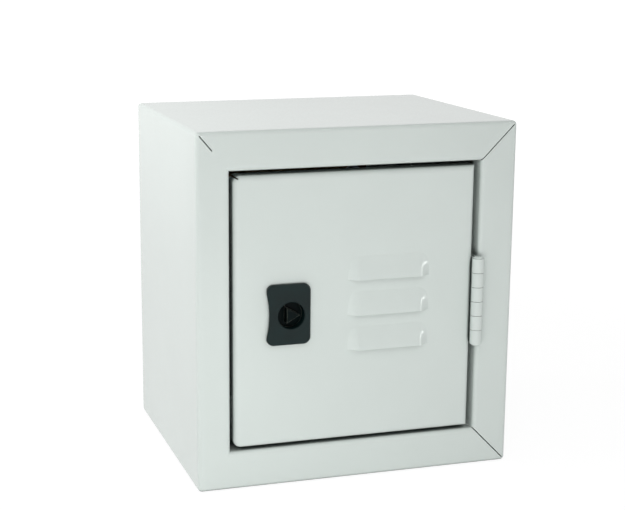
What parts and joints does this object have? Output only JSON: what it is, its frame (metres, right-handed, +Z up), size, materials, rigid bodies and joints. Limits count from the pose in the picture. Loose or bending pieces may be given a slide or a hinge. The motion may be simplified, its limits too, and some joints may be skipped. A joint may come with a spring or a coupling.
{
  "type": "telephone junction box",
  "caption": "Folded sheet-steel wall junction box for telephone lines, with an inset louvred door on a pin hinge and a triangular-key cam lock.",
  "frame": {"origin": "middle of the back face, which lies against the wall", "axes": "+Z up, +Y into the wall, so the door faces -Y and its hinge is on the +X side"},
  "size_m": [0.188, 0.1588, 0.203],
  "materials": {
    "grey_paint": "satin powder coat",
    "black_plastic": "moulded black",
    "zinc_steel": "zinc plated",
    "brass": "bright",
    "plywood": "bare plywood",
    "moulded_base": "moulded"
  },
  "bodies": {
    "box": {"body_shell": "grey_paint", "hinge_frame_leaf": "grey_paint", "hinge_pin": "grey_paint", "door_stops": "grey_paint", "backboard": "plywood", "board_studs": "zinc_steel", "board_washers": "zinc_steel", "board_nuts": "zinc_steel", "terminal_base": "moulded_base", "terminal_plates": "brass", "terminal_screws": "brass", "terminal_base_screws": "zinc_steel", "earth_stud": "zinc_steel", "earth_washer": "zinc_steel", "earth_nut": "zinc_steel"},
    "door": {"door_panel": "grey_paint", "hinge_door_leaf": "grey_paint", "lock_body": "black_plastic", "lock_nut": "black_plastic"},
    "lock": {"lock_spindle": "black_plastic", "lock_cam": "zinc_steel", "cam_washer": "zinc_steel", "cam_screw": "zinc_steel"}
  },
  "joints": [
    {"name": "door_hinge", "type": "hinge", "parent": "box", "child": "door", "pos_m": [0.0707, -0.1554, -0.0013], "axis": [0, 0, 1], "range_deg": [0, 180]},
    {"name": "lock_turn", "type": "hinge", "parent": "door", "child": "lock", "pos_m": [-0.0407, -0.14, -0.0021], "axis": [0, -1, 0], "range_deg": [0, 90]}
  ]
}
